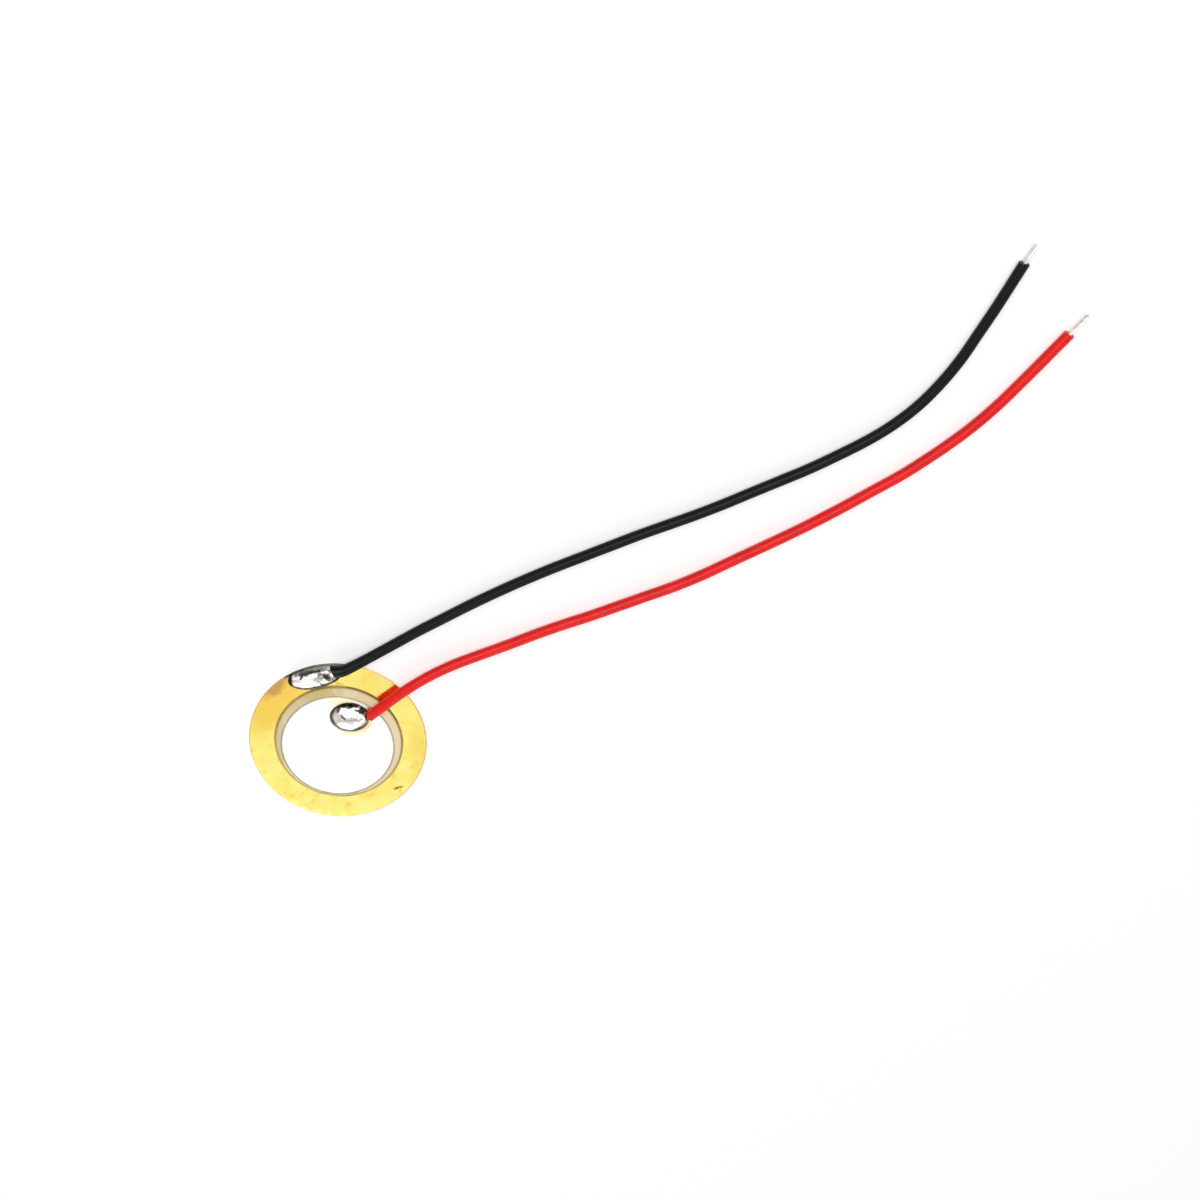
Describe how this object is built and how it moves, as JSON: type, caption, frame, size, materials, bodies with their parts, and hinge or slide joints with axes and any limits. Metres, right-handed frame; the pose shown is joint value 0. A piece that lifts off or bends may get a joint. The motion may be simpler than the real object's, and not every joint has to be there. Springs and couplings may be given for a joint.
{
  "type": "piezo disc",
  "caption": "Round brass plate with a bonded piezo-ceramic disc, silver electrode and two soldered leads; it turns flexing into a voltage, or a voltage into sound.",
  "frame": {"origin": "centre of the plate's back face, which is the face the disc lies on", "axes": "+Z out of the ceramic side, normal to the plate; the leads leave towards +X and +Y and lie on the plane z = 0"},
  "size_m": [0.0893, 0.0721, 0.0017],
  "materials": {
    "brass": "bright rolled sheet with faint heat and flux stains",
    "adhesive": "amber film with a thin squeezed-out bead",
    "silver_film": "fired silver, satin",
    "piezo_ceramic": "matte beige, unglazed",
    "solder": "bright frozen solder with dark flux rims",
    "black_pvc": "semi-gloss",
    "red_pvc": "semi-gloss",
    "tinned_copper": "tinned strands"
  },
  "bodies": {
    "root": {"brass_plate": "brass", "bond_layer": "adhesive", "rear_electrode": "silver_film", "ceramic_element": "piezo_ceramic", "front_electrode": "silver_film", "plate_solder_joint": "solder", "electrode_solder_joint": "solder", "black_lead": "black_pvc", "red_lead": "red_pvc", "black_lead_tail": "tinned_copper", "red_lead_tail": "tinned_copper", "black_lead_tip": "tinned_copper", "red_lead_tip": "tinned_copper"}
  },
  "joints": []
}
